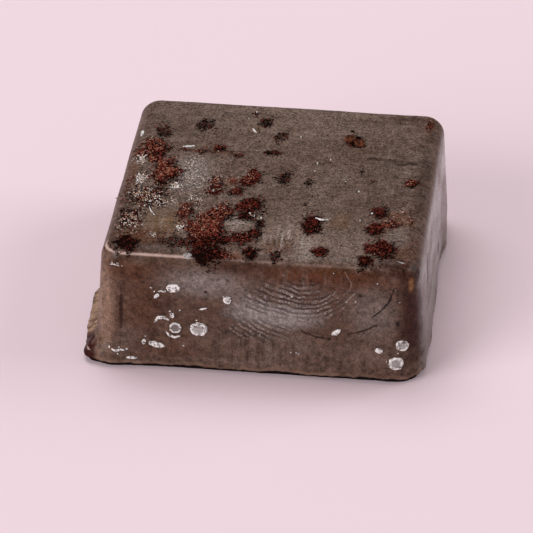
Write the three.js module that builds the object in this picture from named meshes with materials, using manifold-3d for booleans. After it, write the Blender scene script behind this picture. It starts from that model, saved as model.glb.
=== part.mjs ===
// A square moulded chocolate bonbon: a low solid block with drafted sides and rounded edges, a wavy lip and
// some flash where it left the mould, cocoa crumbs stuck to its top and pale flakes stuck to its front.
// Millimetres, +Z up. The origin is the middle of the flat base, and -Y is the front.
import * as THREE from "three";
import { mergeVertices } from "three/addons/utils/BufferGeometryUtils.js";
import Module from "manifold-3d";

// Driving dimensions of the block
const BASE_WIDTH = 30;
const TOP_WIDTH = 28.4;
const HEIGHT = 11.75;
const BASE_CORNER_RADIUS = 2.8;
const TOP_CORNER_RADIUS = 1.8;
const TOP_EDGE_RADIUS = 1.4;
const LIP_HEIGHT = 0.45;
const LIP_UNDERCUT = 0.55;
const LIP_EDGE_INSET = 0.05;
const LIP_ROUND = 0.3;
const LIP_WAVE = 0.3;
const LIP_WAVE_LENGTH = 7;
const TOP_UNEVENNESS = 0.05;
const TOP_WAVE_LENGTH = 16;

// Driving dimensions of what sticks to it
const CRUMB_RADIUS_MIN = 0.25;
const CRUMB_RADIUS_MAX = 0.5;
const CRUMB_SUNK = 0.3;
const CRUMB_FLATNESS_MIN = 0.6;
const CRUMB_FLATNESS_MAX = 0.9;
const FLAKE_THICKNESS = 0.36;
const FLAKE_TAPER = 0.85;
const FLAKE_SIDES = 7;
const RANDOM_SEED = 7;

// Grid of the block: lines across the top, closer together over its rounded edges at these shares of their
// radius, and rows up the sides.
const GRID = 24;
const EDGE_LINES = [0, 0.33, 0.67, 1, 1.6].map((share) => share * TOP_EDGE_RADIUS);
const EDGE_STEPS = 3;
const STRAIGHT_ROWS = 8;

// Share of a foot mark's height over which it fades into the side.
const FOOT_FADE = 0.6;

const BASE_HALF = BASE_WIDTH / 2;
const TOP_HALF = TOP_WIDTH / 2;
const DRAFT_ANGLE = Math.atan((BASE_HALF - TOP_HALF) / HEIGHT);

// Where the foot of the side runs out past the drafted side or falls short of it: place, reach along the
// side's normal, length along the edge and height up the side.
const FOOT_MARKS = {
  frontLeftLump: { at: [-15, -13.4], reach: 0.85, spread: 2.4, rise: 2.6 },
  leftFlash: { at: [-15, -7.6], reach: 1.6, spread: 4, rise: 1.2 },
  leftFlashEnd: { at: [-15, -3.4], reach: 1.1, spread: 1.9, rise: 1.3 },
  rightDent: { at: [15, 4.5], reach: -0.3, spread: 2.6, rise: 2.2 },
  rightBulge: { at: [15, 9], reach: 0.15, spread: 1.4, rise: 2.6 },
  rightBackDent: { at: [15, 13.5], reach: -0.3, spread: 1.2, rise: 2.4 },
  rightFrontBulge: { at: [15, -7.5], reach: 0.2, spread: 2.2, rise: 1.6 },
  backBulge: { at: [-4, 15], reach: 0.15, spread: 4, rise: 1.8 },
};

// Patches of cocoa on the top: middle, half width, half depth and how many crumbs stand out of it.
const COCOA_PATCHES = [
  { at: [-5.4, -9.3], half: [2.2, 3.8], crumbs: 16 },
  { at: [-4.8, -13.6], half: [1.4, 0.5], crumbs: 6 },
  { at: [-7.8, -12.2], half: [1.5, 0.9], crumbs: 4 },
  { at: [-1.9, -5.4], half: [1.1, 1.9], crumbs: 7 },
  { at: [-1.6, -10.8], half: [1.1, 1.3], crumbs: 5 },
  { at: [-0.8, -13.2], half: [0.8, 0.8], crumbs: 3 },
  { at: [-2.3, -0.2], half: [0.8, 1.2], crumbs: 4 },
  { at: [-5.4, -1.8], half: [0.6, 1.4], crumbs: 4 },
  { at: [-3.4, -2], half: [0.5, 1.3], crumbs: 3 },
  { at: [-11.7, 4.1], half: [1.3, 1.4], crumbs: 6 },
  { at: [-10.5, -0.3], half: [1.2, 2.2], crumbs: 7 },
  { at: [-11.4, -4.8], half: [1.2, 1.4], crumbs: 4 },
  { at: [-11.9, -8.4], half: [0.9, 1.8], crumbs: 4 },
  { at: [-12, -12.7], half: [0.7, 1], crumbs: 3 },
  { at: [-11.3, 7.2], half: [0.6, 0.7], crumbs: 3 },
  { at: [-7.9, 8.7], half: [0.7, 0.7], crumbs: 3 },
  { at: [-2.3, 10.2], half: [0.5, 0.7], crumbs: 3 },
  { at: [-0.5, 7.8], half: [0.4, 0.6], crumbs: 2 },
  { at: [0.6, 0.2], half: [0.5, 0.7], crumbs: 3 },
  { at: [2.9, -0.5], half: [0.2, 0.2], crumbs: 1 },
  { at: [3, -4.2], half: [0.2, 0.2], crumbs: 1 },
  { at: [-5.9, 4.7], half: [0.5, 0.4], crumbs: 2 },
  { at: [-1.1, 4.6], half: [0.7, 0.3], crumbs: 2 },
  { at: [6.4, 7.5], half: [0.7, 0.8], crumbs: 4 },
  { at: [4, -7.6], half: [0.9, 1.7], crumbs: 6 },
  { at: [5.3, -12.3], half: [0.6, 0.5], crumbs: 2 },
  { at: [9.9, -4.9], half: [0.4, 0.7], crumbs: 2 },
  { at: [10, -7.8], half: [0.7, 0.8], crumbs: 3 },
  { at: [11.2, -7], half: [0.4, 0.5], crumbs: 2 },
  { at: [10.6, -11.3], half: [1, 1.3], crumbs: 5 },
  { at: [9.3, -13.2], half: [0.5, 0.7], crumbs: 3 },
  { at: [12.2, 0.6], half: [0.4, 0.5], crumbs: 2 },
];

// Pale flakes on the front: place across and up the face, half width and half height.
const FLAKES = [
  { at: [-7.6, 8.35], half: [0.55, 0.4] },
  { at: [-9.1, 7.55], half: [0.3, 0.3] },
  { at: [-8.6, 4.95], half: [0.75, 0.3] },
  { at: [-7.4, 4.35], half: [0.55, 0.55] },
  { at: [-7.6, 3.45], half: [0.6, 0.25] },
  { at: [-5.3, 4.35], half: [0.75, 0.65] },
  { at: [-9.1, 2.55], half: [0.85, 0.3] },
  { at: [-2.8, 7.55], half: [0.32, 0.32] },
  { at: [7.1, 4.95], half: [0.4, 0.3] },
  { at: [10.9, 3.35], half: [0.32, 0.25] },
  { at: [12.8, 4.05], half: [0.6, 0.5] },
  { at: [12.5, 2.15], half: [0.65, 0.6] },
];

const wasm = await Module();
wasm.setup();

// Repeatable random numbers from 0 to 1.
function randomSource(seed) {
  let state = seed;
  return function next() {
    state = (state * 1664525 + 1013904223) % 4294967296;
    return state / 4294967296;
  };
}

// Half width and corner radius of the drafted side at a height.
function halfAt(z) {
  return THREE.MathUtils.lerp(BASE_HALF, TOP_HALF, z / HEIGHT);
}

function cornerAt(z) {
  return THREE.MathUtils.lerp(BASE_CORNER_RADIUS, TOP_CORNER_RADIUS, z / HEIGHT);
}

// Quarter arc of the top edge: angle 0 is the flat top and a right angle is the side.
function edgeArc(angle) {
  return {
    inset: TOP_EDGE_RADIUS * (1 - Math.sin(angle)),
    drop: TOP_EDGE_RADIUS * (1 - Math.cos(angle)),
  };
}

// Rows of the side from the foot to the middle of the top edge's arc: height and distance in from the side.
function sideRows() {
  const rows = [
    { z: 0, inset: LIP_UNDERCUT },
    { z: LIP_HEIGHT / 2, inset: 0.8 * LIP_UNDERCUT },
    { z: LIP_HEIGHT, inset: LIP_EDGE_INSET },
  ];
  const low = LIP_HEIGHT + LIP_ROUND;
  const high = HEIGHT - TOP_EDGE_RADIUS;
  for (let i = 0; i < STRAIGHT_ROWS; i += 1) {
    rows.push({ z: THREE.MathUtils.lerp(low, high, i / (STRAIGHT_ROWS - 1)), inset: 0 });
  }
  for (let i = 1; i <= EDGE_STEPS; i += 1) {
    const arc = edgeArc(Math.PI / 2 - (i / EDGE_STEPS) * (Math.PI / 4));
    rows.push({ z: HEIGHT - arc.drop, inset: arc.inset });
  }
  return rows;
}

// Place of a grid line from -1 to 1 across the block.
function linePlace(index) {
  const fromEnd = Math.min(index, GRID - index);
  const side = index < GRID / 2 ? -1 : 1;
  const last = EDGE_LINES.length - 1;
  const inner = 1 - EDGE_LINES[last] / TOP_HALF;
  if (fromEnd <= last) return side * (1 - EDGE_LINES[fromEnd] / TOP_HALF);
  return side * inner * (1 - (fromEnd - last) / (GRID / 2 - last));
}

// Rounds the plan of a square: what lies in a corner is drawn in to an arc about that corner's centre.
function roundPlan(x, y, half, radius) {
  const core = Math.max(half - radius, 0);
  const coreX = THREE.MathUtils.clamp(x, -core, core);
  const coreY = THREE.MathUtils.clamp(y, -core, core);
  const outX = x - coreX;
  const outY = y - coreY;
  const length = Math.hypot(outX, outY);
  if (length === 0) return [x, y];
  const reach = Math.max(Math.abs(outX), Math.abs(outY)) / length;
  return [coreX + outX * reach, coreY + outY * reach];
}

// How far the foot stands out of the drafted side at a place on the outline.
function footReach(x, y, z) {
  let reach = 0;
  for (const mark of Object.values(FOOT_MARKS)) {
    const away = Math.hypot(x - mark.at[0], y - mark.at[1]) / mark.spread;
    const fade = THREE.MathUtils.clamp((mark.rise - z) / (FOOT_FADE * mark.rise), 0, 1);
    reach += mark.reach * Math.exp(-away * away) * fade;
  }
  return reach;
}

// Share of its full height that the lip's lower edge keeps at a place on the outline.
function lipShare(x, y) {
  const turn = (2 * Math.PI) / LIP_WAVE_LENGTH;
  const wave = Math.sin(turn * (x + y / 2)) * Math.cos(turn * (y / 2 - x));
  return 1 - LIP_WAVE + LIP_WAVE * wave;
}

// Long low waves of a top that set without being smoothed.
function topWave(x, y) {
  const turn = (2 * Math.PI) / TOP_WAVE_LENGTH;
  return TOP_UNEVENNESS * Math.sin(turn * x + 1) * Math.cos(turn * y);
}

// Height of the block's skin over a place in its plan, down to the end of the top edge's arc.
function skinHeight(x, y) {
  const inset = TOP_HALF - Math.max(Math.abs(x), Math.abs(y));
  const over = Math.max(0, TOP_EDGE_RADIUS - Math.max(inset, 0));
  const drop = TOP_EDGE_RADIUS - Math.sqrt(TOP_EDGE_RADIUS ** 2 - over ** 2);
  return HEIGHT - drop + topWave(x, y);
}

function mouldedBlock() {
  const rows = sideRows();
  const lastRow = rows.length - 1;
  const box = new THREE.BoxGeometry(2, 2, 2, GRID, GRID, lastRow);
  const places = box.getAttribute("position");
  for (let i = 0; i < places.count; i += 1) {
    const column = linePlace(Math.round(((places.getX(i) + 1) / 2) * GRID));
    const line = linePlace(Math.round(((places.getY(i) + 1) / 2) * GRID));
    const rowIndex = Math.round(((places.getZ(i) + 1) / 2) * lastRow);
    const edge = Math.max(Math.abs(column), Math.abs(line));
    let { z, inset } = rows[rowIndex];
    if (z <= LIP_HEIGHT) z *= lipShare(column * BASE_HALF, line * BASE_HALF);
    const fromRim = (1 - edge) * TOP_HALF;
    if (rowIndex === lastRow && fromRim > 0) {
      const share = Math.max(0, 1 - fromRim / TOP_EDGE_RADIUS);
      const arc = edgeArc(share * (Math.PI / 4));
      z = HEIGHT - arc.drop;
      inset = share > 0 ? arc.inset : fromRim;
    }
    const reach = edge === 1 ? footReach(column * BASE_HALF, line * BASE_HALF, z) : 0;
    const outer = halfAt(z) - inset + reach;
    const rim = edge === 1 || rowIndex === lastRow ? outer : edge * outer;
    const scale = rim / edge;
    const [x, y] = edge === 0
      ? [0, 0]
      : roundPlan(column * scale, line * scale, outer, Math.max(cornerAt(z) - inset, 0));
    const wave = rowIndex === lastRow && inset >= TOP_EDGE_RADIUS ? topWave(x, y) : 0;
    places.setXYZ(i, x, y, z + wave);
  }
  return box;
}

// One crumb of cocoa: a small uneven lump, sunk a little into the top.
function crumb(x, y, random) {
  const radius = THREE.MathUtils.lerp(CRUMB_RADIUS_MIN, CRUMB_RADIUS_MAX, random());
  const lump = new THREE.IcosahedronGeometry(radius, 0);
  const width = THREE.MathUtils.lerp(CRUMB_FLATNESS_MAX, 1, random());
  const height = THREE.MathUtils.lerp(CRUMB_FLATNESS_MIN, CRUMB_FLATNESS_MAX, random());
  lump.scale(1, width, height);
  lump.rotateZ(random() * Math.PI);
  lump.rotateX(random());
  lump.translate(x, y, skinHeight(x, y) - CRUMB_SUNK * radius);
  return lump;
}

function cocoaCrumbs() {
  const random = randomSource(RANDOM_SEED);
  return COCOA_PATCHES.flatMap((patch) =>
    Array.from({ length: patch.crumbs }, () => {
      const angle = random() * 2 * Math.PI;
      const away = Math.sqrt(random());
      const x = patch.at[0] + patch.half[0] * away * Math.cos(angle);
      const y = patch.at[1] + patch.half[1] * away * Math.sin(angle);
      return crumb(x, y, random);
    }),
  );
}

// One thin flake, half sunk into the drafted front and turned with it where it bends into a corner.
function flake({ at, half }) {
  const side = halfAt(at[1]);
  const corner = cornerAt(at[1]);
  const [x, y] = roundPlan(at[0], -side, side, corner);
  const pastCore = Math.max(Math.abs(x) - (side - corner), 0);
  const chip = new THREE.CylinderGeometry(1, FLAKE_TAPER, FLAKE_THICKNESS, FLAKE_SIDES);
  chip.scale(half[0], 1, half[1]);
  chip.rotateX(-DRAFT_ANGLE);
  chip.rotateZ(Math.sign(x) * Math.asin(pastCore / corner));
  chip.translate(x, y, at[1]);
  return chip;
}

// A closed geometry as a solid that can be joined to another.
function solidOf(geometry) {
  geometry.deleteAttribute("normal");
  geometry.deleteAttribute("uv");
  const closed = mergeVertices(geometry);
  const mesh = new wasm.Mesh({
    numProp: 3,
    vertProperties: closed.getAttribute("position").array,
    triVerts: new Uint32Array(closed.index.array),
  });
  return new wasm.Manifold(mesh);
}

function geometryOf(solid) {
  const mesh = solid.getMesh();
  const geometry = new THREE.BufferGeometry();
  geometry.setAttribute("position", new THREE.BufferAttribute(mesh.vertProperties, mesh.numProp));
  geometry.setIndex(new THREE.BufferAttribute(mesh.triVerts, 1));
  geometry.computeVertexNormals();
  return geometry;
}

function bonbonMesh() {
  let solid = solidOf(mouldedBlock());
  for (const piece of [...cocoaCrumbs(), ...FLAKES.map(flake)]) {
    solid = solid.add(solidOf(piece));
  }
  const chocolate = new THREE.MeshStandardMaterial({ color: 0x5a4138, roughness: 0.55, metalness: 0 });
  const mesh = new THREE.Mesh(geometryOf(solid), chocolate);
  mesh.name = "bonbon";
  return mesh;
}

const bonbon = new THREE.Group();
bonbon.add(bonbonMesh());

export default bonbon;
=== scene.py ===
# A square moulded chocolate bonbon that has been handled: greyed by bloom, marked by a fingertip, dusted with
# cocoa on its top and spotted with pale flakes on its front.
import math
import random

import bmesh
import bpy
from mathutils import Matrix, Vector
from mathutils.bvhtree import BVHTree


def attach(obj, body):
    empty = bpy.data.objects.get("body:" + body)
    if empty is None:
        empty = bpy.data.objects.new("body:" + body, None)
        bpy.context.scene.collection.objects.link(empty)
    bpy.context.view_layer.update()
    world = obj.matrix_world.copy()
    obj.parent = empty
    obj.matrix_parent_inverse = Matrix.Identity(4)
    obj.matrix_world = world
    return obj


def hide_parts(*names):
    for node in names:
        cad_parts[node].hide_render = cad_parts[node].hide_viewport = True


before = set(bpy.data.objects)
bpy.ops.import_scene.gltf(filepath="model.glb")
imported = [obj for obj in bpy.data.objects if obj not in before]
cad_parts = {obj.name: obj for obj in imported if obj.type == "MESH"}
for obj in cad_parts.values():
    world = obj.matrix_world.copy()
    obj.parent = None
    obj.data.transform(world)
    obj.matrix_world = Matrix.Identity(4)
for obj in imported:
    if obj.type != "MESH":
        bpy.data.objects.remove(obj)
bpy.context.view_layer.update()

# The chocolate block
# One solid block of dark milk chocolate, cast in a drafted square mould and knocked out of it. Its sides lean
# in, its corners and top edge are round, and at the foot a wavy lip and some flash stand out of the side.
MM = 0.001
BASE_WIDTH = 30.0
TOP_WIDTH = 28.4
HEIGHT = 11.75
BLOCK_SIZES = {
    "Base Half": BASE_WIDTH / 2, "Top Half": TOP_WIDTH / 2, "Height": HEIGHT,
    "Base Corner": 2.8, "Top Corner": 1.8, "Edge Round": 1.4,
    "Lip Height": 0.55, "Lip Undercut": 0.45,
}
# The block's grid, and how much closer its lines stand towards the edges.
COLUMNS, LINES, ROWS = 211, 131, 97
GRID_CROWDING = 0.3
# The lip's height runs from its least share by a wave's share of the named height.
LIP_LEAST = 0.1
LIP_WAVE = 1.8
# The ragged foot: the cloud value that leaves it in place, its depth and where it fades, in mm.
RAGGED_MIDDLE = 0.8
RAGGED_DEPTH = 0.22
RAGGED_HEIGHTS = (1.6, 0.3)
# Relief of the skin, in mm: slow waves, small bumps, the cocoa's bed, the lumps in it and the ridges.
WAVE_HEIGHT = 0.14
BUMP_HEIGHT = 0.04
CAKE_HEIGHT = 0.02
CAKE_LUMPS = 0.11
RIDGE_HEIGHT = 0.04


class Value:
    """A socket of a node tree. Python's operators on it add Math nodes, and node() adds any other node."""

    def __init__(self, socket):
        self.socket = socket
        self.tree = socket.id_data

    @classmethod
    def node(cls, tree, kind, settings=None, sockets=None, output=0):
        made = tree.nodes.new(kind)
        for name, setting in (settings or {}).items():
            setattr(made, name, setting)
        for key, given in (sockets or {}).items():
            if isinstance(given, cls):
                tree.links.new(given.socket, made.inputs[key])
            else:
                made.inputs[key].default_value = given
        return cls(made.outputs[output])

    def maths(self, operation, *others):
        sockets = dict(enumerate((self, *others)))
        return self.node(self.tree, "ShaderNodeMath", {"operation": operation}, sockets)

    def vectors(self, operation, *others, output=0):
        sockets = dict(enumerate((self, *others)))
        return self.node(self.tree, "ShaderNodeVectorMath", {"operation": operation}, sockets, output)

    def __add__(self, other):
        return self.maths("ADD", other)

    __radd__ = __add__

    def __mul__(self, other):
        return self.maths("MULTIPLY", other)

    __rmul__ = __mul__

    def __sub__(self, other):
        return self.maths("SUBTRACT", other)

    def __rsub__(self, other):
        return self.node(self.tree, "ShaderNodeMath", {"operation": "SUBTRACT"}, {0: other, 1: self})

    def __truediv__(self, other):
        return self.maths("DIVIDE", other)

    def __neg__(self):
        return self * -1.0

    def __abs__(self):
        return self.maths("ABSOLUTE")

    def at_least(self, other):
        return self.maths("MAXIMUM", other)

    def at_most(self, other):
        return self.maths("MINIMUM", other)

    def root(self):
        return self.maths("SQRT")

    def step(self, low, high):
        """0 below low and 1 above high with a smooth rise between, or the reverse if low is above."""
        ends = {1: min(low, high), 2: max(low, high), 3: float(low > high), 4: float(low <= high)}
        settings = {"interpolation_type": "SMOOTHSTEP"}
        return self.node(self.tree, "ShaderNodeMapRange", settings, {0: self, **ends})

    def scaled(self, factor):
        """This vector or colour times a number."""
        sockets = {"Vector": self, "Scale": factor}
        return self.node(self.tree, "ShaderNodeVectorMath", {"operation": "SCALE"}, sockets)

    def mixed(self, low, high):
        """The colour low where this is 0 and high where it is 1."""
        settings = {"data_type": "RGBA", "clamp_factor": True}
        return self.node(self.tree, "ShaderNodeMix", settings, {0: self, 6: low, 7: high}, 2)


def vector(x, y, z):
    tree = next(part.tree for part in (x, y, z) if isinstance(part, Value))
    return Value.node(tree, "ShaderNodeCombineXYZ", None, {0: x, 1: y, 2: z})


def noise(place, scale, detail=2.0, roughness=0.5):
    """Cloudy values about 0.5, with that many clouds a millimetre."""
    sockets = {"Vector": place, "Scale": scale, "Detail": detail, "Roughness": roughness}
    return Value.node(place.tree, "ShaderNodeTexNoise", None, sockets)


def split(place):
    made = place.tree.nodes.new("ShaderNodeSeparateXYZ")
    place.tree.links.new(place.socket, made.inputs[0])
    return [Value(output) for output in made.outputs]


def new_tree(name, sizes):
    """A Geometry Nodes tree with one number input for each size, and those inputs as values."""
    tree = bpy.data.node_groups.new(name, "GeometryNodeTree")
    tree.interface.new_socket("Geometry", in_out="INPUT", socket_type="NodeSocketGeometry")
    for size in sizes:
        tree.interface.new_socket(size, in_out="INPUT", socket_type="NodeSocketFloat")
    tree.interface.new_socket("Geometry", in_out="OUTPUT", socket_type="NodeSocketGeometry")
    group = tree.nodes.new("NodeGroupInput")
    return tree, Value(group.outputs["Geometry"]), {size: Value(group.outputs[size]) for size in sizes}


def stored(geometry, name, field):
    """The geometry with a field kept as a named number on its points."""
    settings = {"data_type": "FLOAT", "domain": "POINT"}
    sockets = {"Geometry": geometry, "Name": name, "Value": field}
    return Value.node(geometry.tree, "GeometryNodeStoreNamedAttribute", settings, sockets)


def recalled(tree, name):
    """A named number of the geometry's points."""
    return Value.node(tree, "GeometryNodeInputNamedAttribute", {"data_type": "FLOAT"}, {"Name": name})


def end_tree(tree, geometry, material):
    """Ends a tree: metres for millimetres, realized instances and one material."""
    scaled = Value.node(tree, "GeometryNodeTransform", None, {"Geometry": geometry, "Scale": (MM, MM, MM)})
    real = Value.node(tree, "GeometryNodeRealizeInstances", None, {"Geometry": scaled})
    painted = Value.node(tree, "GeometryNodeSetMaterial", None, {"Geometry": real, "Material": material})
    end = tree.nodes.new("NodeGroupOutput")
    tree.links.new(painted.socket, end.inputs[0])


def grown(name, tree, sizes, start):
    """The plain mesh that a tree makes from a starting mesh, as a new object at the origin."""
    piece = bpy.data.objects.new(name, start)
    bpy.context.scene.collection.objects.link(piece)
    modifier = piece.modifiers.new(name, "NODES")
    modifier.node_group = tree
    identifiers = {item.name: item.identifier for item in tree.interface.items_tree if item.in_out == "INPUT"}
    for size, number in sizes.items():
        modifier[identifiers[size]] = float(number)
    depsgraph = bpy.context.evaluated_depsgraph_get()
    mesh = bpy.data.meshes.new_from_object(piece.evaluated_get(depsgraph), depsgraph=depsgraph)
    piece.modifiers.remove(modifier)
    piece.data = mesh
    mesh.name = name
    return piece


# Where the foot stands out of the side or falls short of it, in mm: place, reach, length along, height up.
FOOT_MARKS = {
    "front left lump": ((-15.0, -13.4), 0.85, 2.4, 2.6),
    "left flash": ((-15.0, -7.6), 1.6, 4.0, 1.2),
    "left flash end": ((-15.0, -3.4), 1.1, 1.9, 1.3),
    "right dent": ((15.0, 4.5), -0.3, 2.6, 2.2),
    "right bulge": ((15.0, 9.0), 0.15, 1.4, 2.6),
    "right back dent": ((15.0, 13.5), -0.3, 1.2, 2.4),
    "right front bulge": ((15.0, -7.5), 0.15, 2.2, 1.6),
    "back bulge": ((-4.0, 15.0), 0.15, 4.0, 1.8),
}
FOOT_FADE = 0.6

# Cocoa on the top, in mm: middle, half width, half depth, how thick it lies and how rusty it is.
COCOA_PATCHES = [
    (-5.3, -9.6, 2.3, 3.5, 1.0, 0.95), (-4.3, -6.9, 1.7, 2.0, 0.9, 0.9), (-7.4, -6.8, 1.1, 1.7, 0.8, 1.0),
    (-4.7, -13.5, 1.8, 0.95, 1.0, 0.05), (-5.2, -12.2, 2.1, 1.2, 0.95, 0.4),
    (-7.7, -12.2, 2.0, 1.2, 0.7, 0.1), (-1.9, -5.4, 1.6, 2.2, 0.9, 0.5),
    (-1.7, -10.8, 1.5, 1.6, 0.85, 0.6), (-0.6, -8.3, 0.6, 1.7, 0.85, 0.0),
    (-3.4, -11.6, 0.9, 1.2, 0.9, 0.4), (-0.9, -13.0, 1.0, 1.0, 0.9, 0.3),
    (-2.6, -13.6, 0.7, 0.4, 0.5, 0.9), (-2.3, -0.3, 1.15, 1.9, 0.95, 0.9),
    (-3.8, -0.9, 0.7, 1.0, 0.6, 1.0), (-5.5, -1.0, 0.8, 1.2, 0.7, 1.0), (-5.3, -2.7, 0.9, 1.4, 0.8, 0.6),
    (-3.4, -3.0, 0.9, 1.2, 0.9, 0.7), (-11.8, 3.9, 1.8, 2.2, 0.95, 0.95),
    (-10.3, -0.2, 1.8, 2.9, 0.95, 0.95), (-11.4, -4.6, 2.5, 2.0, 0.85, 0.3),
    (-12.2, -8.6, 1.3, 2.4, 0.85, 0.3), (-12.0, -12.8, 1.6, 1.3, 1.0, 0.0),
    (-11.3, 7.2, 1.1, 1.6, 0.74, 0.1), (-11.4, 2.1, 0.9, 1.0, 0.9, 0.9),
    (-1.7, -7.0, 1.5, 1.2, 0.95, 0.0), (-0.7, -9.9, 0.6, 1.2, 0.85, 0.0),
    (-7.6, 8.9, 1.1, 1.4, 0.78, 0.0), (-2.2, 10.1, 0.95, 1.3, 0.8, 0.0), (-3.2, 11.6, 0.4, 0.5, 0.8, 0.0),
    (-0.5, 7.7, 0.8, 1.2, 0.72, 0.1), (0.6, 0.2, 0.85, 1.5, 0.8, 0.0), (3.0, -0.5, 0.5, 1.0, 0.75, 0.0),
    (3.0, -4.2, 0.4, 0.6, 0.7, 0.0), (-5.9, 4.7, 0.9, 0.8, 0.9, 0.6), (-7.6, 4.0, 0.9, 0.6, 0.65, 0.7),
    (-4.1, 3.6, 0.6, 0.7, 0.65, 0.7), (-1.0, 4.6, 1.1, 0.55, 0.85, 0.1), (5.9, 9.5, 0.25, 0.3, 0.85, 0.1),
    (4.0, -7.6, 1.25, 2.1, 0.95, 0.4), (5.3, -12.3, 0.9, 1.0, 0.9, 0.4),
    (1.3, -13.3, 0.65, 0.8, 0.8, 0.3), (9.9, -5.0, 0.9, 1.4, 0.95, 0.35),
    (9.8, -7.8, 1.1, 1.4, 1.0, 0.55), (11.2, -7.0, 0.95, 1.3, 0.75, 1.0),
    (10.5, -11.4, 1.6, 1.9, 1.0, 0.55), (9.3, -13.1, 1.0, 1.0, 1.0, 0.25),
    (12.2, 0.6, 0.75, 1.1, 0.85, 0.8), (12.8, -6.1, 0.5, 0.8, 0.55, 1.0),
    (11.9, -4.9, 0.9, 1.1, 0.4, 1.0), (13.0, 11.4, 0.3, 1.3, 0.6, 0.8), (6.4, 7.5, 1.15, 1.4, 1.0, 0.0),
    (-8.8, 4.2, 1.2, 0.4, 0.6, 0.8), (-13.2, -4.0, 0.6, 4.0, 0.4, 0.2),
    (-3.4, -13.3, 0.9, 0.8, 0.75, 0.5), (7.6, 2.1, 0.35, 0.35, 0.8, 0.1), (8.7, 0.6, 0.4, 0.5, 0.6, 0.7),
]

# Share of a patch's size by which its rusty part lies back and to the left, leaving a dark rim on its front
# right as painted shade.
RUST_OFF = 0.22
# How ragged a patch's outline is, how much frost lies in rusty cocoa, and how far below the top both are gone
# and are whole, in mm.
PATCH_FRAY = 1.8
FROST_IN_RUST = 0.38
COCOA_GONE = 2.2
COCOA_WHOLE = 1.2

# Frosted places on the top, in mm: middle, half width, half depth and how thick the pale crumbs lie.
FROST_PATCHES = [
    (-12.2, -1.6, 0.9, 1.5, 1.0), (-12.8, 2.3, 0.8, 1.5, 0.95), (-9.0, -2.4, 0.8, 1.1, 0.95),
    (-10.6, -5.1, 2.4, 1.4, 0.9), (-11.8, -4.4, 1.8, 1.8, 0.95), (-12.2, -8.7, 1.4, 2.4, 0.95),
    (-8.3, 1.8, 1.6, 2.6, 0.55), (-7.3, -0.9, 1.8, 3.0, 0.5), (-6.9, -4.4, 1.3, 1.6, 0.55),
    (-9.9, -11.2, 0.6, 0.5, 0.8), (-7.5, -9.6, 0.7, 1.1, 0.85), (-1.6, -6.9, 0.4, 0.5, 0.7),
    (-0.8, -7.3, 0.3, 0.7, 0.75), (-6.1, -3.3, 0.5, 1.0, 0.6), (-5.2, -2.4, 0.5, 0.9, 0.6),
    (-6.6, -6.1, 1.0, 0.6, 0.5), (-0.4, -12.0, 0.4, 1.2, 0.55), (-10.3, -2.0, 3.2, 5.0, 0.35),
    (6.3, 0.4, 0.3, 0.9, 0.5), (5.3, -6.6, 0.9, 0.4, 0.6), (-5.6, -0.9, 0.9, 1.3, 0.65),
]

# The fingertip's mark on the front, in mm across and up the face. The ridges sway slowly and tremble, fray at
# the mark's outline and fade to a least share where they are broken. Each group has the middle that its lines
# bend about, how fast they close in to the left and to the right, the place they are sharp in, its half sizes
# and how deep they are.
RIDGE_SPACING = 0.45
RIDGE_SWAY = 0.6
RIDGE_TREMBLE = 0.34
RIDGE_FRAY = 1.5
RIDGE_LEAST = 0.3
RIDGE_GROUPS = [
    ((4.7, 11.55), (0.59, 1.27), (2.8, 7.7), (5.6, 2.0), 1.0),
    ((5.9, 15.35), (1.0, 1.0), (0.2, 4.75), (3.2, 1.4), 0.75),
]


def oval(flat, middle, half):
    """Distance from a middle, 1 on the oval with those half sizes."""
    shrink = (1.0 / half[0], 1.0 / half[1], 0.0)
    shift = (-middle[0] / half[0], -middle[1] / half[1], 0.0)
    return flat.vectors("MULTIPLY_ADD", shrink, shift).vectors("LENGTH", output=1)


def print_ridges(x, z, place):
    """The fingertip's ridges, 0 in a furrow and 1 on a ridge, and where they are sharp."""
    wander = (noise(place, 0.5, 2.0) - 0.5) * RIDGE_SWAY
    wander = wander + (noise(place, 1.7, 2.0) - 0.5) * RIDGE_TREMBLE
    frayed = (noise(place, 1.1, 3.0) - 0.5) * RIDGE_FRAY
    broken = RIDGE_LEAST + noise(place, 1.5, 2.0).step(0.36, 0.52) * (1.0 - RIDGE_LEAST)
    face = vector(x, z, 0.0)
    ridge, sharp = x * 0.0, x * 0.0
    for middle, (to_left, to_right), patch_middle, patch_half, deep in RIDGE_GROUPS:
        across, down = x - middle[0], z - middle[1]
        across = across * (to_left + across.step(-0.6, 0.6) * (to_right - to_left))
        rings = (across * across + down * down).root() + wander
        lines = (rings * (math.tau / RIDGE_SPACING)).maths("SINE").step(-0.75, 0.45)
        patch = (oval(face, patch_middle, patch_half) + frayed).step(1.1, 0.5) * deep * broken
        ridge = ridge + lines * patch
        sharp = sharp.at_least(patch)
    return ridge.at_most(1.0), sharp


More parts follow.
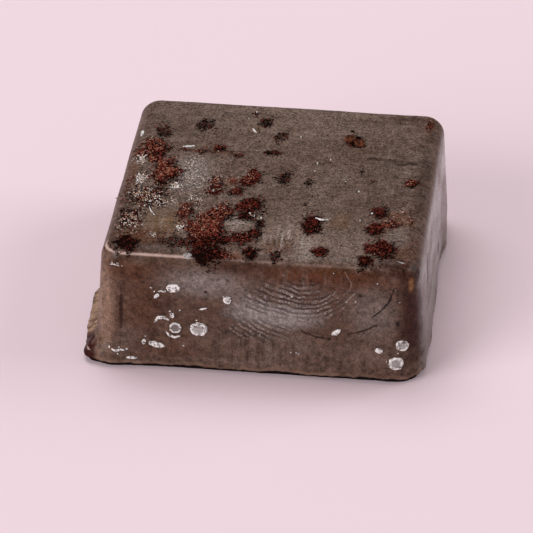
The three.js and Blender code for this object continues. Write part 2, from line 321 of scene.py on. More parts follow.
def block_tree(material):
    tree, _, size = new_tree("moulded_block", BLOCK_SIZES)
    counts = {"Size": (2.0, 2.0, 2.0), "Vertices X": COLUMNS, "Vertices Y": LINES, "Vertices Z": ROWS}
    cube = Value.node(tree, "GeometryNodeMeshCube", None, counts)
    raw_x, raw_y, raw_z = split(Value.node(tree, "GeometryNodeInputPosition"))

    # Grid lines stand closer together towards the edges.
    across = raw_x * (1.0 + GRID_CROWDING - raw_x * raw_x * GRID_CROWDING)
    deep = raw_y * (1.0 + GRID_CROWDING - raw_y * raw_y * GRID_CROWDING)
    share = (raw_z + 1.0) * 0.5
    share = share - (share * math.tau).maths("SINE") * (GRID_CROWDING / math.tau)
    edge = abs(across).at_least(abs(deep))

    # Round top edge: the angle runs from 0 on the flat top to a right angle on the side.
    inset = (1.0 - edge) * size["Top Half"]
    drop = (1.0 - share) * size["Height"]
    on_top = (1.0 - inset / size["Edge Round"]).at_least(0.0)
    on_side = (1.0 - drop / size["Edge Round"]).at_least(0.0)
    angle = (1.0 + on_top - on_side) * (math.pi / 4.0)
    inset = inset.at_least(size["Edge Round"] * (1.0 - angle.maths("SINE")))
    drop = drop.at_least(size["Edge Round"] * (1.0 - angle.maths("COSINE")))
    height = size["Height"] - drop

    # Undercut lip with an uneven lower edge; its rise is 1 where the lip begins and 0 on the floor.
    foot_x, foot_y = across * size["Base Half"], deep * size["Base Half"]
    foot_place = vector(foot_x, foot_y, 0.0)
    lip = size["Lip Height"] * (LIP_LEAST + noise(foot_place, 0.5, 3.0, 0.65) * LIP_WAVE)
    lip_rise = (height / lip).at_most(4.0)
    inset = inset + lip_rise.step(1.0, 0.45) * size["Lip Undercut"]

    # Lumps, flash and dents along the foot
    reach = height * 0.0
    for mark_middle, out, spread, rise in FOOT_MARKS.values():
        away = oval(foot_place, mark_middle, (spread, spread))
        fade = ((rise - height) / (FOOT_FADE * rise)).at_least(0.0).at_most(1.0)
        reach = reach + (away * away * -1.0).maths("EXPONENT") * fade * out
    ragged = (noise(vector(foot_x, foot_y, height * 2.0), 0.9, 3.0) - RAGGED_MIDDLE) * RAGGED_DEPTH
    reach = reach + ragged * height.step(*RAGGED_HEIGHTS)

    # Drafted side and round plan
    rim = size["Base Half"] + (size["Top Half"] - size["Base Half"]) * height / size["Height"] - inset + reach
    corner = size["Base Corner"] + (size["Top Corner"] - size["Base Corner"]) * height / size["Height"]
    corner = (corner - inset).at_least(0.0)
    core = (rim - corner).at_least(0.0)
    flat_x, flat_y = across * rim / edge, deep * rim / edge
    core_x = flat_x.at_least(-core).at_most(core)
    core_y = flat_y.at_least(-core).at_most(core)
    out_x, out_y = flat_x - core_x, flat_y - core_y
    length = (out_x * out_x + out_y * out_y).root()
    pull = abs(out_x).at_least(abs(out_y)) / length
    place = vector(core_x + out_x * pull, core_y + out_y * pull, height)
    open_base = Value.node(tree, "GeometryNodeDeleteGeometry", {"domain": "FACE"}, {
        "Geometry": cube, "Selection": raw_z.maths("LESS_THAN", -0.999)})
    block = stored(stored(open_base, "lip_rise", lip_rise), "flash", reach)
    block = Value.node(tree, "GeometryNodeSetPosition", None, {"Geometry": block, "Position": place})

    # Which way each part of the skin faces, and where the cocoa and the frost lie
    faces = split(Value.node(tree, "GeometryNodeInputNormal"))
    here = Value.node(tree, "GeometryNodeInputPosition")
    x, y, z = split(here)
    plan = vector(x, y, 0.0)
    wobble = (noise(here, 0.8, 4.0, 0.7) - 0.5) * PATCH_FRAY
    cocoa, rust, frost = x * 0.0, x * 0.0, x * 0.0
    for mid_x, mid_y, half_x, half_y, thick, red in COCOA_PATCHES:
        away = oval(plan, (mid_x, mid_y), (half_x, half_y)) + wobble
        cocoa = cocoa.at_least(away.step(1.3, 0.4) * thick)
        # The rusty part sits back left, so the front right rim stays dark as painted shade.
        lit = oval(plan, (mid_x - RUST_OFF * half_x, mid_y + RUST_OFF * half_y), (half_x, half_y)) + wobble
        rust = rust.at_least(lit.step(1.15, 0.45) * red)
    for mid_x, mid_y, half_x, half_y, thick in FROST_PATCHES:
        away = oval(plan, (mid_x, mid_y), (half_x, half_y)) + wobble
        frost = frost.at_least(away.step(1.4, 0.1) * thick)
    frost = frost.at_least(rust * FROST_IN_RUST)
    high = z.step(HEIGHT - COCOA_GONE, HEIGHT - COCOA_WHOLE)
    marks = {"faces_up": faces[2], "faces_front": -faces[1], "faces_right": faces[0],
             "cocoa": cocoa * high, "rust": rust * high, "frost": frost * high}
    for mark, field in marks.items():
        block = stored(block, mark, field)

    # Relief: slow waves, small bumps, caked cocoa and the fingertip's ridges
    ridge, sharp = print_ridges(x, z, here)
    on_front = recalled(tree, "faces_front").step(0.8, 0.95)
    relief = (noise(here, 0.16, 2.0) - 0.5) * WAVE_HEIGHT + (noise(here, 1.3, 3.0) - 0.5) * BUMP_HEIGHT
    relief = relief + recalled(tree, "cocoa") * (CAKE_HEIGHT + noise(here, 3.2, 2.0) * CAKE_LUMPS)
    relief = relief + (ridge - sharp * 0.5) * on_front * RIDGE_HEIGHT
    relief = relief * z.step(0.15, 0.6)
    out = Value.node(tree, "GeometryNodeInputNormal").scaled(relief)
    block = Value.node(tree, "GeometryNodeSetPosition", None, {"Geometry": block, "Offset": out})
    end_tree(tree, block, material)
    return tree


def close_base(piece):
    """Fills the open underside with one flat face that looks down."""
    shell = bmesh.new()
    shell.from_mesh(piece.data)
    rim = [edge for edge in shell.edges if edge.is_boundary]
    made = bmesh.ops.edgeloop_fill(shell, edges=rim)["faces"]
    for face in made:
        face.smooth = False
        if face.normal.z > 0.0:
            face.normal_flip()
    shell.to_mesh(piece.data)
    shell.free()


def new_material(name):
    """A material with its tree, its main shader, and Object coordinates in millimetres."""
    material = bpy.data.materials.new(name)
    material.use_nodes = True
    tree = material.node_tree
    shader = next(node for node in tree.nodes if node.type == "BSDF_PRINCIPLED")
    place = Value.node(tree, "ShaderNodeTexCoord", None, None, "Object").scaled(1.0 / MM)
    return material, tree, shader, place


def attribute(tree, name):
    return Value.node(tree, "ShaderNodeAttribute", {"attribute_name": name}, None, "Fac")


def paint(shader, **inputs):
    """Links or sets the main shader's sockets; an underscore in a name stands for a space."""
    for name, given in inputs.items():
        socket = shader.inputs[name.replace("_", " ")]
        if isinstance(given, Value):
            given.tree.links.new(given.socket, socket)
        else:
            socket.default_value = given


def bump(height, strength, distance):
    settings = {"Height": height, "Strength": strength, "Distance": distance * MM}
    return Value.node(height.tree, "ShaderNodeBump", None, settings)


def trail(flat, points):
    """Distance from a line through some points."""
    nearest = None
    for start, end in zip(points, points[1:]):
        run = Vector((*end, 0.0)) - Vector((*start, 0.0))
        off = flat.vectors("SUBTRACT", (*start, 0.0))
        along = off.vectors("DOT_PRODUCT", run / run.length_squared, output=1).at_least(0.0).at_most(1.0)
        sockets = {"Vector": run, "Scale": along}
        foot = Value.node(flat.tree, "ShaderNodeVectorMath", {"operation": "SCALE"}, sockets)
        away = off.vectors("DISTANCE", foot, output=1)
        nearest = away if nearest is None else nearest.at_most(away)
    return nearest


CHOCOLATE = (0.090, 0.048, 0.032, 1.0)
BLACK = (0.004, 0.002, 0.0015, 1.0)
DARK = (0.020, 0.007, 0.004, 1.0)
DARK_RED = (0.036, 0.010, 0.006, 1.0)
WARM = (0.080, 0.026, 0.011, 1.0)
OCHRE = (0.138, 0.074, 0.038, 1.0)
ORANGE = (0.150, 0.045, 0.016, 1.0)
AMBER = (0.260, 0.120, 0.045, 1.0)
BLOOM = (0.158, 0.118, 0.101, 1.0)
DUSTY = (0.200, 0.140, 0.112, 1.0)
VIOLET = (0.265, 0.225, 0.210, 1.0)
TAN = (0.300, 0.185, 0.130, 1.0)
# The next colour is a painted highlight for the rounded top front edge.
EDGE_HIGHLIGHT = (0.550, 0.385, 0.340, 1.0)
PALE = (0.300, 0.240, 0.215, 1.0)
# The next colour is a painted sheen, the right side's glancing reflection, over streaks of bloom.
PAINTED_SHEEN = (0.430, 0.475, 0.460, 1.0)
LUMP_RED = (0.034, 0.008, 0.006, 1.0)
# The next two colours are the cocoa's bed, dark as caked cocoa and as painted shade between the grains.
COCOA_BED_AND_SHADE = (0.008, 0.003, 0.002, 1.0)
RUST_BED_AND_SHADE = (0.020, 0.004, 0.003, 1.0)
# Where a finish or painted light begins and is whole, in mm: the front's and the painted edge highlight's
# along Y, the flash's along X, the lump's along Y, the right side's painted sheen up Z, and the left and
# right stretches of the painted edge highlight along X.
FRONT_BAND = (-10.5, -12.5)
EDGE_HIGHLIGHT_BAND = (-11.5, -12.6)
FLASH_BAND = (-14.1, -15.0)
LUMP_BAND = (-10.0, -11.5)
PAINTED_SHEEN_BAND = (1.0, 7.0)
HIGHLIGHT_LEFT_BAND = (-5.0, -6.5)
HIGHLIGHT_RIGHT_BAND = (11.0, 8.0)
# How strong the painted highlight is on those two stretches, and how strong the painted sheen's colour is at
# the foot and how much more above.
HIGHLIGHT_LEFT = 0.78
HIGHLIGHT_RIGHT = 0.16
PAINTED_SHEEN_LOW = 0.18
PAINTED_SHEEN_RISE = 0.22
# Stains on the top, in mm: middle, half sizes, colour and strength. The dark one along the right edge is
# painted shade on its rounding.
TOP_STAINS = [
    ((2.8, -9.2), (3.4, 4.8), DUSTY, 0.5), ((1.6, -12.0), (2.4, 1.6), WARM, 0.5),
    ((3.9, -11.8), (1.1, 2.0), PALE, 0.4), ((6.5, -7.0), (1.3, 1.5), OCHRE, 0.5),
    ((7.6, -11.0), (3.2, 2.4), DUSTY, 0.5), ((-7.9, 0.2), (1.9, 3.4), PALE, 0.3),
    ((-2.7, -8.1), (1.4, 1.6), PALE, 0.5), ((-9.1, -8.9), (2.2, 2.8), OCHRE, 0.8),
    ((-13.2, 0.1), (0.8, 6.0), WARM, 0.6), ((10.0, 1.5), (3.2, 7.0), DARK, 0.16),
    # The first stain below, dark along the top's right edge, is painted shade on the rounding there.
    ((13.2, 1.0), (0.8, 13.0), DARK, 0.45), ((-0.2, 12.5), (11.0, 0.9), DUSTY, 0.4),
    ((10.9, 12.4), (2.8, 0.6), DARK_RED, 0.6), ((11.7, -5.9), (1.3, 1.6), ORANGE, 0.4),
    ((10.8, -6.9), (1.0, 1.0), ORANGE, 0.5), ((-5.8, 4.1), (3.4, 0.5), WARM, 0.5),
    ((-3.1, 8.8), (0.7, 0.9), OCHRE, 0.5), ((12.8, -6.2), (0.5, 0.8), ORANGE, 0.4),
    ((-2.6, -13.5), (1.0, 0.6), ORANGE, 0.6), ((2.0, 9.6), (9.0, 2.6), DUSTY, 0.25),
    ((12.7, -11.2), (2.2, 4.2), WARM, 0.55), ((13.2, -13.4), (1.3, 0.9), DARK_RED, 0.6),
    ((11.9, -9.2), (1.3, 2.0), VIOLET, 0.3), ((13.0, 11.4), (0.5, 1.9), WARM, 0.95),
    ((-11.2, -11.4), (3.2, 1.8), WARM, 0.85), ((-4.0, -0.9), (0.8, 1.1), ORANGE, 0.6),
    ((-7.8, 0.3), (2.4, 3.8), VIOLET, 0.28), ((-1.2, -13.9), (2.8, 0.7), DARK_RED, 0.3),
    ((-13.0, -8.5), (0.9, 4.5), DARK_RED, 0.45), ((12.2, -13.6), (2.8, 1.1), DARK_RED, 0.7),
    ((-10.0, -13.1), (4.5, 0.9), DARK_RED, 0.5),
]
# Stains on the front, in mm across and up: middle, half sizes, colour and strength. The dark red one at the
# right corner is painted shade and the tan one at the left corner a painted highlight.
FRONT_STAINS = [
    ((-10.6, 6.6), (2.8, 3.4), WARM, 0.5), ((-4.9, 9.0), (4.4, 1.6), VIOLET, 0.55),
    # The second stain below, dark red down the front's right corner, is painted shade.
    ((6.2, 10.4), (8.0, 1.2), WARM, 0.95), ((13.7, 6.6), (1.6, 5.2), DARK_RED, 0.9),
    ((1.7, 6.2), (4.5, 1.4), VIOLET, 0.9), ((-1.0, 7.0), (2.2, 1.5), VIOLET, 0.5),
    # The second stain below, tan down the front's left corner, is a painted highlight.
    ((10.2, 7.0), (2.6, 3.0), VIOLET, 0.3), ((-13.9, 6.2), (1.1, 5.5), TAN, 0.6),
    ((-12.3, 5.9), (0.22, 2.6), DARK, 0.9), ((-8.5, 6.5), (1.4, 1.0), DARK, 0.4),
    ((13.55, 10.0), (0.25, 0.75), AMBER, 0.9), ((1.5, 2.9), (8.0, 1.8), DUSTY, 0.3),
    ((-8.7, 2.0), (4.0, 1.0), WARM, 0.3), ((-4.7, 8.15), (0.2, 0.2), BLACK, 0.9),
    ((9.1, 8.75), (0.3, 0.25), BLACK, 0.8), ((12.5, 6.25), (0.22, 0.28), BLACK, 0.8),
    ((13.0, 11.2), (0.25, 0.3), DARK, 0.9), ((0.0, 1.2), (9.0, 0.5), DUSTY, 0.4),
    ((-11.6, 9.9), (2.8, 1.1), WARM, 0.7), ((-2.0, 10.9), (3.4, 0.8), DARK_RED, 0.55),
    ((12.0, 11.3), (2.8, 0.9), DARK_RED, 0.7), ((9.5, 2.6), (3.4, 1.8), DUSTY, 0.25),
]
# Stains on the right side, in mm back and up: middle, half sizes, colour and strength. The dark one near the
# front corner is painted shade.
RIGHT_STAINS = [
    ((2.4, 4.15), (1.0, 0.7), BLACK, 0.9), ((5.9, 1.25), (1.1, 0.8), BLACK, 0.9),
    # This dark stain by the front corner is painted shade.
    ((-12.5, 5.2), (1.6, 6.0), DARK, 0.5),
]
# Stains on the left side, in mm back and up, and on the back, in mm across and up: the same.
LEFT_STAINS = [
    ((-6.0, 7.5), (5.0, 2.4), DUSTY, 0.45), ((5.0, 5.0), (6.0, 2.2), VIOLET, 0.3),
    ((0.0, 10.3), (12.0, 1.0), WARM, 0.6), ((10.5, 3.0), (3.0, 1.8), DARK_RED, 0.5),
    ((-1.5, 2.4), (4.0, 1.2), WARM, 0.4),
]
BACK_STAINS = [
    ((5.0, 7.0), (5.5, 2.6), DUSTY, 0.45), ((-6.5, 4.5), (5.0, 2.0), VIOLET, 0.3),
    ((0.0, 10.3), (12.0, 1.0), WARM, 0.6), ((-12.5, 6.0), (1.4, 4.5), DARK_RED, 0.5),
    ((2.0, 2.2), (6.0, 1.2), WARM, 0.4),
]
# Scratches and cracks, in mm: the points they run through, half width, colour and strength.
TOP_LINES = [
    ([(-10.3, 4.3), (-5.0, 4.4), (-0.1, 4.7)], 0.10, DARK_RED, 0.6),
    ([(-9.6, 4.2), (-7.4, 4.1), (-4.6, 4.3)], 0.22, DARK_RED, 0.5),
    ([(8.2, 4.7), (10.2, 4.5), (12.3, 4.2)], 0.28, DARK, 0.55), ([(10.6, 3.8), (12.2, 4.1)], 0.18, DARK, 0.7),
    ([(4.5, -6.7), (7.1, -7.1)], 0.09, DARK, 0.4), ([(6.5, 11.7), (12.2, 11.5)], 0.20, DARK, 0.3),
    ([(12.9, -6.6), (12.8, -8.4)], 0.09, DARK, 0.5),
]
FRONT_LINES = [
    ([(12.1, 9.65), (11.7, 8.45), (11.2, 7.65), (10.2, 6.65)], 0.08, BLACK, 0.85),
    ([(10.7, 5.95), (9.6, 5.35), (8.1, 4.85)], 0.09, DARK, 0.8),
    ([(4.0, 4.85), (5.3, 4.35), (6.5, 4.25)], 0.09, DARK, 0.8),
    ([(7.7, 10.95), (8.3, 9.95), (8.2, 9.35), (7.6, 8.75)], 0.06, DUSTY, 0.6),
    ([(8.6, 8.95), (7.8, 8.05)], 0.06, PALE, 0.6),
]
RIGHT_LINES = [
    ([(-6.9, 8.6), (-7.5, 6.7)], 0.42, BLACK, 0.9), ([(-1.3, 1.75), (-1.6, 0.7)], 0.3, BLACK, 0.9),
]
# Places where the skin was dragged into streaks, in mm: middle, half sizes, colour and strength.
TOP_STREAKS = [((2.2, -10.4), (3.2, 2.8), PALE, 0.65), ((-8.0, -9.0), (3.0, 2.6), PALE, 0.25)]
FRONT_STREAKS = [((-1.2, 3.05), (2.6, 1.9), DARK, 0.42), ((3.0, 2.05), (9.0, 1.6), DARK_RED, 0.3),
                 ((3.6, 10.0), (4.5, 1.0), PALE, 0.14)]


def chocolate_material():
    material, tree, shader, place = new_material("bloomed_chocolate")
    x, y, z = split(place)
    faces_up = attribute(tree, "faces_up")
    up = faces_up.step(0.5, 0.9)
    fore = y.step(*FRONT_BAND) * (1.0 - up)
    faces_right = attribute(tree, "faces_right")
    right = faces_right.step(0.75, 0.99) * faces_up.step(0.75, 0.15)
    left = faces_right.step(-0.5, -0.9) * (1.0 - up)
    rear = attribute(tree, "faces_front").step(-0.5, -0.9) * (1.0 - up)
    clouds = noise(place, 0.2, 3.0)
    blotches = noise(place, 0.9, 4.0, 0.6)
    mottles = noise(place, 2.2, 3.0, 0.6)
    specks = noise(place, 5.2, 1.0, 0.7)
    dots = noise(place, 9.5, 0.0)
    dragged = noise(vector(x * 3.2, y * 0.25, z * 0.3), 1.0, 3.0, 0.6)
    ridge, sharp = print_ridges(x, z, place)

    # Plain skin: bloomed on the top, browner on the sides
    bloom = up * 0.30 + 0.08 + (clouds - 0.5) * 0.7 + (blotches - 0.5) * 0.8 + (dragged - 0.5) * up * 0.4
    colour = bloom.mixed(CHOCOLATE, BLOOM)
    frayed = (blotches - 0.5) * 1.1 + (dragged - 0.5) * up * 0.5
    faces = [(vector(x, y, 0.0), up, TOP_STAINS, TOP_LINES, TOP_STREAKS),
             (vector(x, z, 0.0), fore, FRONT_STAINS, FRONT_LINES, FRONT_STREAKS),
             (vector(y, z, 0.0), right, RIGHT_STAINS, RIGHT_LINES, []),
             (vector(y, z, 0.0), left, LEFT_STAINS, [], []),
             (vector(x, z, 0.0), rear, BACK_STAINS, [], [])]
    # Painted sheen on the right side: a grey glancing reflection in streaks over bloom, stronger higher up.
    drawn_out = noise(vector(x * 0.3, y * 0.22, z * 0.6), 1.0, 4.0, 0.6)
    streaked = drawn_out.step(0.28, 0.70) * right + (1.0 - right) * 0.4
    colour = (streaked * right * (PAINTED_SHEEN_LOW + z.step(*PAINTED_SHEEN_BAND) * PAINTED_SHEEN_RISE)).mixed(colour, PAINTED_SHEEN)
    dull = x * 0.0
    for flat, facing, stains, lines, streaks in faces:
        for middle, half, stain, strength in stains:
            patch = (oval(flat, middle, half) + frayed).step(1.25, 0.25) * strength * facing
            colour = patch.mixed(colour, stain)
            dull = dull.at_least(patch) if stain is BLACK else dull
        for middle, half, stain, strength in streaks:
            patch = (oval(flat, middle, half) + frayed).step(1.2, 0.5) * dragged.step(0.46, 0.60)
            colour = (patch * strength * facing).mixed(colour, stain)
        for points, width, stain, strength in lines:
            away = trail(flat, points) + (specks - 0.5) * 0.12 + (mottles - 0.5) * 0.25
            mark = away.step(width * 1.6, width * 0.4) * strength * facing
            colour = mark.mixed(colour, stain)
            dull = dull.at_least(mark) if stain is BLACK else dull

    # Painted highlight along the top's front edge, fingertip ridges and flash
    edge = faces_up.step(0.60, 0.70) * faces_up.step(0.80, 0.70) * y.step(*EDGE_HIGHLIGHT_BAND)
    highlight_share = x.step(*HIGHLIGHT_LEFT_BAND) * HIGHLIGHT_LEFT + x.step(*HIGHLIGHT_RIGHT_BAND) * HIGHLIGHT_RIGHT
    edge = edge * (highlight_share + (blotches - 0.5) * 0.6)
    furrow = (sharp - ridge).at_least(0.0) * fore
    furrow = furrow * (mottles.step(0.36, 0.6) * 0.5 + specks.step(0.3, 0.6) * 0.4)
    colour = (furrow * 0.95).mixed(colour, DARK)
    colour = (ridge * fore * (0.25 + specks.step(0.4, 0.62) * 0.55)).mixed(colour, VIOLET)
    striped = noise(vector(x * 0.4, y * 1.1, z * 0.8), 1.0, 2.0).step(0.33, 0.49).mixed(DARK_RED, TAN)
    flash = attribute(tree, "flash").step(0.1, 0.3) * x.step(*FLASH_BAND)
    lump = flash * y.step(*LUMP_BAND)
    colour = flash.mixed(colour, lump.mixed(striped, LUMP_RED))

    # Grain, the painted highlight on the lip's rim over its undercut, painted black as shade, frost and the
    # bed of the cocoa, darkened also as painted shade between its grains
    fine = ((specks - 0.5) * 3.0 + (dots - 0.5) * 0.8) * (0.5 + up * 0.5)
    grain = 1.0 + fine + (mottles - 0.5) * 1.8 + (blotches - 0.5) * 1.2
    colour = colour.scaled(grain.at_least(0.3).at_most(2.8))
    # Painted highlight along the rounded top front edge, strongest on its left.
    colour = (edge * (0.4 + mottles * 1.1)).mixed(colour, EDGE_HIGHLIGHT)
    lip_rise = attribute(tree, "lip_rise")
    rim = lip_rise.step(0.85, 1.0) * lip_rise.step(1.9, 1.2)
    # Painted highlight on the rim of the lip.
    colour = (rim * (1.0 - lump) * (0.35 + (blotches - 0.5) * 1.5)).mixed(colour, TAN)
    # Painted shade: the undercut under the lip is painted black.
    colour = (lip_rise.step(0.95, 0.65) * 0.97).mixed(colour, BLACK)
    frost = attribute(tree, "frost")
    colour = (frost * mottles.step(0.4, 0.65) * 0.45).mixed(colour, PALE)
    colour = (frost.step(0.1, 0.7) * specks.step(0.54, 0.42) * 0.7).mixed(colour, DARK)
    cocoa = attribute(tree, "cocoa")
    rust = attribute(tree, "rust")
    # Bed of caked cocoa under the grains, dark both as cocoa and as painted shade in the gaps between grains.
    bed_and_shade = (cocoa + (specks - 0.5) * 0.8 - 0.1).step(0.3, 0.7)
    bed_and_shade = bed_and_shade * (0.55 + rust.step(0.0, 0.6).at_least(cocoa.step(0.7, 0.9)) * 0.44)
    colour = bed_and_shade.mixed(colour, rust.step(0.2, 0.8).mixed(COCOA_BED_AND_SHADE, RUST_BED_AND_SHADE))
    rough = 0.42 + bloom * 0.15 + (blotches - 0.5) * 0.3 + bed_and_shade * 0.4 - edge * 0.1 - right * 0.1
    relief = blotches * 0.7 + mottles * 0.4 + specks * 0.7 + ridge * fore * 0.6
    glazed = right * (streaked * 0.7 + 0.3) * (1.0 - dull)
    glazed = glazed * (z.step(0.5, 7.0) * 0.65 + 0.35) * (z.step(11.2, 8.2) * 0.7 + 0.3)
    sheen = (1.0 - bed_and_shade) * (1.0 - lump * 0.7) * (0.16 + glazed * 0.84)
    paint(shader, Base_Color=colour, Roughness=rough, Normal=bump(relief, 0.7, 0.07), Specular_IOR_Level=0.03,
          Coat_Weight=sheen, Coat_Roughness=0.27, Coat_IOR=1.6)
    return material


block = grown("chocolate_block", block_tree(chocolate_material()), BLOCK_SIZES, bpy.data.meshes.new("start"))
block.data.shade_smooth()
close_base(block)
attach(block, "root")
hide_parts("bonbon")


# The cocoa
# Coarse cocoa powder that caked on the top in patches, and single crumbs strewn between them. Each grain is a
# small rough lump, half sunk in the bed it stuck to, rust red in the middle of some patches and else almost
# black; the black grains along a rusty patch's front right rim are painted shade.
COCOA_SIZES = {"Density": 68.0, "Strays": 0.22, "Stray Size": 0.95,
               "Least Radius": 0.050, "Most Radius": 0.105, "Seed": 4.0}
GRAIN_DARK = (0.008, 0.003, 0.002, 1.0)
GRAIN_STRAY = (0.034, 0.012, 0.008, 1.0)
GRAIN_RUST = (0.155, 0.026, 0.018, 1.0)
GRAIN_ORANGE = (0.340, 0.135, 0.082, 1.0)
# A lump's least width and depth and its most width, depth and height, as shares of its radius.
LUMP_LEAST = (0.8, 0.45)
LUMP_MOST = (2.3, 0.85, 0.82)
COCOA_LEAST_HEIGHT = 0.6
# A lump's tilt and turn in radians, and how far its tone strays.
LUMP_TILT = 0.5
FULL_TURN = 6.28
TONE_RANGE = (-1.0, 0.6)
TONE_SEED, WIDTH_SEED, SHAPE_SEED, TURN_SEED = 2, 3, 4, 5


def random_number(tree, least, most, seed):
    """A random number for each point."""
    sockets = {2: least, 3: most, "Seed": seed}
    return Value.node(tree, "FunctionNodeRandomValue", {"data_type": "FLOAT"}, sockets, 1)


def random_vector(tree, least, most, seed):
    """A random vector for each point."""
    sockets = {0: least, 1: most, "Seed": seed}
    return Value.node(tree, "FunctionNodeRandomValue", {"data_type": "FLOAT_VECTOR"}, sockets, 0)


def scatter_tree(name, sizes, mark, tint, flat, material):
    """Small lumps strewn over the block, as densely as its attribute mark says and toned by its attribute
    tint; flat is their least height."""
    tree, block_skin, size = new_tree(name, sizes)
    sockets = {"Geometry": block_skin, "Scale": (1 / MM, 1 / MM, 1 / MM)}
    skin = Value.node(tree, "GeometryNodeTransform", None, sockets)
    density = recalled(tree, mark) * recalled(tree, mark) * size["Density"]
    density = density + recalled(tree, "faces_up").step(0.9, 0.98) * size["Strays"]
    sockets = {"Mesh": skin, "Density": density, "Seed": size["Seed"]}
    strewn = Value.node(tree, "GeometryNodeDistributePointsOnFaces", None, sockets, "Points")
    tone = recalled(tree, tint) + random_number(tree, *TONE_RANGE, TONE_SEED)
    points = stored(strewn, "tone", tone)
    lump = Value.node(tree, "GeometryNodeMeshIcoSphere", None, {"Radius": 1.0, "Subdivisions": 1})
    wide = random_number(tree, size["Least Radius"], size["Most Radius"], WIDTH_SEED)
    wide = wide * (size["Stray Size"] + recalled(tree, mark) * (1.0 - size["Stray Size"]))
    scale = random_vector(tree, (*LUMP_LEAST, flat), LUMP_MOST, SHAPE_SEED).scaled(wide)
    least_turn = (-LUMP_TILT, -LUMP_TILT, 0.0)
    turn = random_vector(tree, least_turn, (LUMP_TILT, LUMP_TILT, FULL_TURN), TURN_SEED)
    lumps = Value.node(tree, "GeometryNodeInstanceOnPoints", None,
                       {"Points": points, "Instance": lump, "Rotation": turn, "Scale": scale})
    end_tree(tree, lumps, material)
    return tree


def cocoa_material():
    material, tree, shader, place = new_material("cocoa")
    tone = attribute(tree, "tone") + (noise(place, 1.6, 2.0) - 0.5) * 0.6
    colour = attribute(tree, "cocoa").step(0.1, 0.5).mixed(GRAIN_STRAY, GRAIN_DARK)
    colour = tone.step(0.15, 0.75).mixed(colour, GRAIN_RUST)
    colour = tone.step(0.95, 1.4).mixed(colour, GRAIN_ORANGE)
    paint(shader, Base_Color=colour, Roughness=0.8, Specular_IOR_Level=0.0)
    return material


grains_tree = scatter_tree(
    "strewn_cocoa", COCOA_SIZES, "cocoa", "rust", COCOA_LEAST_HEIGHT, cocoa_material())
grains = grown("cocoa_grains", grains_tree, COCOA_SIZES, block.data.copy())
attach(grains, "root")


# The pale crumbs
# Dry crumbs of sugar and fat bloom that frost the left of the top and speckle the rest of it. They are tiny,
# flat and whitish, and lie loose on the skin and between the cocoa grains.
FROST_SIZES = {"Density": 50.0, "Strays": 0.10, "Stray Size": 0.65,
               "Least Radius": 0.042, "Most Radius": 0.110, "Seed": 9.0}
CRUMB_GREY = (0.34, 0.25, 0.20, 1.0)
CRUMB_WHITE = (0.88, 0.84, 0.82, 1.0)
CRUMB_TAN = (0.42, 0.26, 0.18, 1.0)
CRUMB_LEAST_HEIGHT = 0.4


def frost_material():
    material, tree, shader, place = new_material("pale_crumbs")
    bright = noise(place, 2.6, 3.0, 0.7) + (attribute(tree, "frost") - 0.5) * 0.4
    colour = bright.step(0.35, 0.7).mixed(CRUMB_GREY, CRUMB_WHITE)
    colour = attribute(tree, "tone").step(0.1, 0.5).mixed(colour, CRUMB_TAN)
    paint(shader, Base_Color=colour, Roughness=0.6, Specular_IOR_Level=0.2)
    return material


frost_tree = scatter_tree(
    "strewn_crumbs", FROST_SIZES, "frost", "cocoa", CRUMB_LEAST_HEIGHT, frost_material())
crumbs = grown("pale_crumbs", frost_tree, FROST_SIZES, block.data.copy())
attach(crumbs, "root")


# The pale flakes and painted glints
# Thin flakes of dried fat and sugar stuck flat to the front, round, hollow or bent like a nail paring, with
# a few slivers and a hair on the top. A few white specks and slivers at the front's left corner are painted
# glints, put where the corner catches the light. Each is laid on the block's skin point by point, so it
# follows it.
FLAKE_GREY = (0.13, 0.10, 0.09, 1.0)
FLAKE_WHITE = (0.90, 0.86, 0.84, 1.0)
FLAKE_HOLLOW = (0.17, 0.14, 0.13, 1.0)
FLAKE_SEED = 21
FLAKE_SUNK = 0.06
CORNERS_ROUND = 30
# A flat flake's rings as shares of its size, the ring of its raised rim and the rim's width, how deep its
# hollow may be, how high its outer ring is, how uneven it is, and the waves of its outline.
RINGS = (0.3, 0.52, 0.7, 0.84, 0.94, 1.0)
RIM_RING = 0.84
RIM_WIDTH = 0.3
HOLLOW_DEPTH = 0.8
OUTER_RISE = 0.3
RISE_SPREAD = (0.8, 1.15)
OUTLINE_WAVES = (2, 3, 4, 5, 7, 9)
OUTLINE_SWING = 0.05
# A bent flake's steps between two points, the width of its tips as a share, and how uneven its width is.
STRIP_STEPS = 5
STRIP_TIP = 0.25
WIDTH_SPREAD = (0.8, 1.2)
# Flat flakes, in mm: face, middle across and along it, half sizes, turn in degrees, thickness, how hollow.
FLAKE_DISCS = [
    ("front", (-7.6, 8.35), (0.62, 0.42), 10, 0.14, 0.1),
    ("front", (-9.1, 7.45), (0.34, 0.16), 50, 0.10, 0.3),
    ("front", (-7.7, 5.6), (0.20, 0.26), 0, 0.12, 0.0),
    ("front", (-7.4, 4.35), (0.56, 0.54), 0, 0.12, 0.85),
    ("front", (-5.3, 4.35), (0.80, 0.68), 5, 0.13, 0.5),
    ("front", (-9.1, 2.55), (0.74, 0.28), -10, 0.14, 0.1),
    ("front", (-10.25, 2.75), (0.20, 0.26), 0, 0.12, 0.1),
    ("front", (-2.75, 7.5), (0.38, 0.36), 30, 0.15, 0.0),
    ("front", (7.05, 5.0), (0.46, 0.24), 35, 0.15, 0.0),
    ("front", (10.9, 3.4), (0.36, 0.24), -12, 0.13, 0.0),
    ("front", (12.95, 4.0), (0.60, 0.50), -30, 0.13, 0.5),
    ("front", (12.45, 2.2), (0.68, 0.64), 15, 0.13, 0.55),
    ("front", (-11.35, 1.05), (0.50, 0.13), 0, 0.08, 0.0),
    ("top", (-13.4, 6.9), (0.16, 0.45), 0, 0.15, 0.0),
]
